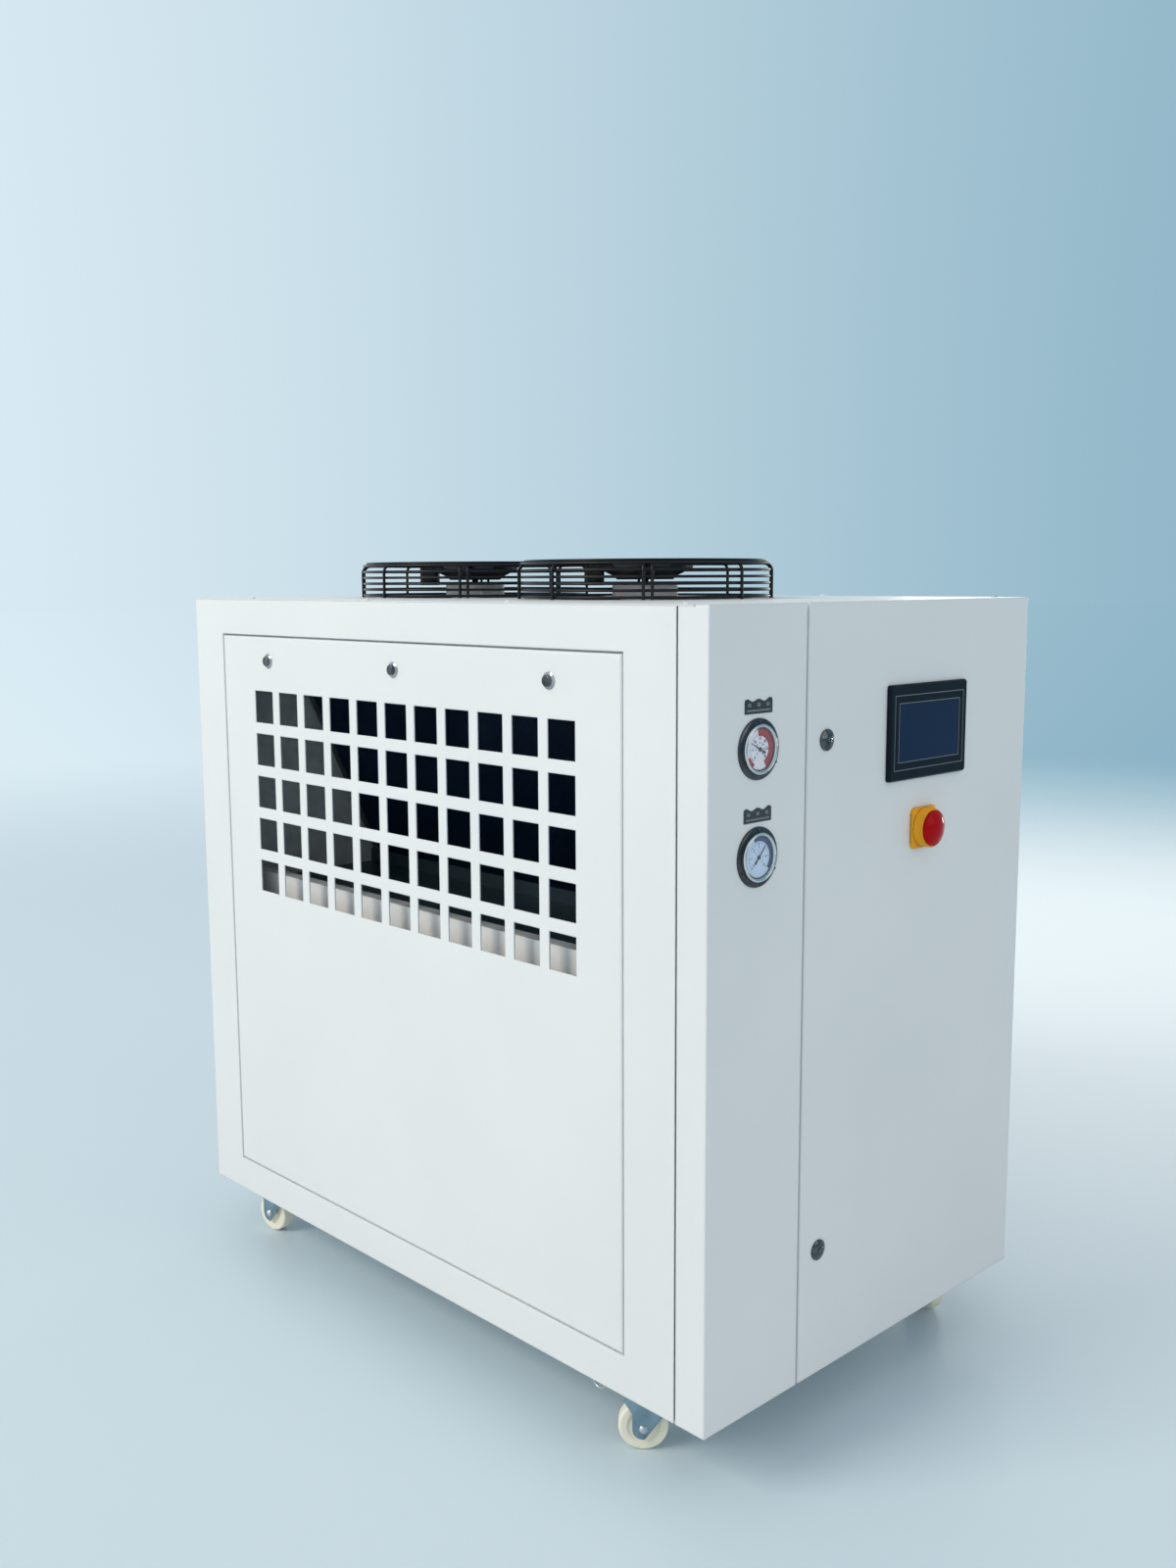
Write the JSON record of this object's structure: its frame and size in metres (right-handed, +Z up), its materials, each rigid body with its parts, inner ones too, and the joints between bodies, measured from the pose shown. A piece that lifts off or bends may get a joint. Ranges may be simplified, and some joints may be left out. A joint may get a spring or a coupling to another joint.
{
  "type": "water chiller",
  "caption": "Air-cooled water chiller: sheet-metal cabinet on castors with air intake grilles, top axial fans in wire guards, control door, gauges and water ports.",
  "frame": {"origin": "on the floor under the middle of the cabinet", "axes": "+Z up, control face towards -Y, intake grilles towards -X and +X"},
  "size_m": [0.817, 1.3835, 1.3266],
  "materials": {
    "white_powder_coat": "satin",
    "galvanised_sheet": "dull",
    "coil_fins": "dark blue",
    "black_ring": "satin",
    "black_wire": "gloss",
    "fan_black": "satin",
    "zinc_plate": "blue zinc",
    "cream_nylon": "waxy",
    "brass_pipe": "turned",
    "hmi_black": "gloss",
    "hmi_glass": "dark screen",
    "switch_yellow": "gloss",
    "knob_red": "gloss",
    "lock_chrome": "bright",
    "dial_white": "printed",
    "gauge_glass": "clear",
    "label_black": "printed"
  },
  "bodies": {
    "cabinet": {"base_plate": "galvanised_sheet", "left_side_frame": "white_powder_coat", "right_side_frame": "white_powder_coat", "left_intake_panel": "white_powder_coat", "right_intake_panel": "white_powder_coat", "panel_latches": "lock_chrome", "rear_frame": "white_powder_coat", "rear_panel": "white_powder_coat", "water_inlet": "brass_pipe", "water_outlet": "brass_pipe", "water_drain": "brass_pipe", "top_panel": "white_powder_coat", "gauge_panel": "white_powder_coat", "front_frame": "white_powder_coat", "electrical_box": "white_powder_coat", "mounting_plate": "galvanised_sheet", "front_bulkhead": "galvanised_sheet", "rear_bulkhead": "galvanised_sheet", "condenser_shelf": "galvanised_sheet", "shelf_rails": "white_powder_coat", "coil_cradle": "galvanised_sheet", "left_coil": "coil_fins", "right_coil": "coil_fins", "fan_ring_front": "black_ring", "fan_ring_rear": "black_ring", "fan_guard_front": "black_wire", "fan_guard_rear": "black_wire", "fan_motors": "fan_black", "frame_hinge_leaves": "zinc_plate", "gauge_cases": "lock_chrome", "gauge_dials": "dial_white", "gauge_glasses": "gauge_glass", "label_plates": "label_black", "castor_plates": "zinc_plate"},
    "door": {"door_panel": "white_powder_coat", "door_hinge_leaves": "zinc_plate", "hmi_case": "hmi_black", "hmi_screen": "hmi_glass", "switch_body": "switch_yellow", "lock_barrels": "lock_chrome"},
    "switch_knob": {"switch_knob": "knob_red"},
    "upper_lock_cam": {"lock_cam_upper": "lock_chrome"},
    "lower_lock_cam": {"lock_cam_lower": "lock_chrome"},
    "front_fan": {"fan_rotor_front": "fan_black"},
    "rear_fan": {"fan_rotor_rear": "fan_black"},
    "castor_front_left": {"castor_fork_front_left": "zinc_plate"},
    "wheel_front_left": {"castor_wheel_front_left": "cream_nylon"},
    "castor_front_right": {"castor_fork_front_right": "zinc_plate"},
    "wheel_front_right": {"castor_wheel_front_right": "cream_nylon"},
    "castor_rear_left": {"castor_fork_rear_left": "zinc_plate"},
    "wheel_rear_left": {"castor_wheel_rear_left": "cream_nylon"},
    "castor_rear_right": {"castor_fork_rear_right": "zinc_plate"},
    "wheel_rear_right": {"castor_wheel_rear_right": "cream_nylon"}
  },
  "joints": [
    {"name": "door_hinge", "type": "hinge", "parent": "cabinet", "child": "door", "pos_m": [0.405, -0.6315, 0.681], "axis": [0, 0, 1], "range_deg": [0, 110]},
    {"name": "switch_turn", "type": "hinge", "parent": "door", "child": "switch_knob", "pos_m": [0.1015, -0.656, 0.911], "axis": [0, 1, 0], "range_deg": [0, 90]},
    {"name": "upper_lock_turn", "type": "hinge", "parent": "door", "child": "upper_lock_cam", "pos_m": [-0.146, -0.656, 1.066], "axis": [0, 1, 0], "range_deg": [0, 90]},
    {"name": "lower_lock_turn", "type": "hinge", "parent": "door", "child": "lower_lock_cam", "pos_m": [-0.146, -0.656, 0.2983], "axis": [0, 1, 0], "range_deg": [0, 90]},
    {"name": "front_fan_spin", "type": "hinge", "parent": "cabinet", "child": "front_fan", "pos_m": [0, -0.157, 1.261], "axis": [0, 0, 1], "continuous": true},
    {"name": "rear_fan_spin", "type": "hinge", "parent": "cabinet", "child": "rear_fan", "pos_m": [0, 0.298, 1.261], "axis": [0, 0, 1], "continuous": true},
    {"name": "swivel_front_left", "type": "hinge", "parent": "cabinet", "child": "castor_front_left", "pos_m": [-0.33, -0.516, 0.101], "axis": [0, 0, 1], "continuous": true},
    {"name": "roll_front_left", "type": "hinge", "parent": "castor_front_left", "child": "wheel_front_left", "pos_m": [-0.35223, -0.49298, 0.0375], "axis": [-0.7193, -0.6947, 0], "continuous": true},
    {"name": "swivel_front_right", "type": "hinge", "parent": "cabinet", "child": "castor_front_right", "pos_m": [0.33, -0.516, 0.101], "axis": [0, 0, 1], "continuous": true},
    {"name": "roll_front_right", "type": "hinge", "parent": "castor_front_right", "child": "wheel_front_right", "pos_m": [0.32011, -0.54643, 0.0375], "axis": [0.9511, -0.309, 0], "continuous": true},
    {"name": "swivel_rear_left", "type": "hinge", "parent": "cabinet", "child": "castor_rear_left", "pos_m": [-0.33, 0.516, 0.101], "axis": [0, 0, 1], "continuous": true},
    {"name": "roll_rear_left", "type": "hinge", "parent": "castor_rear_left", "child": "wheel_rear_left", "pos_m": [-0.33445, 0.54769, 0.0375], "axis": [-0.9903, -0.1392, 0], "continuous": true},
    {"name": "swivel_rear_right", "type": "hinge", "parent": "cabinet", "child": "castor_rear_right", "pos_m": [0.33, 0.516, 0.101], "axis": [0, 0, 1], "continuous": true},
    {"name": "roll_rear_right", "type": "hinge", "parent": "castor_rear_right", "child": "wheel_rear_right", "pos_m": [0.346, 0.54371, 0.0375], "axis": [-0.866, 0.5, 0], "continuous": true}
  ]
}
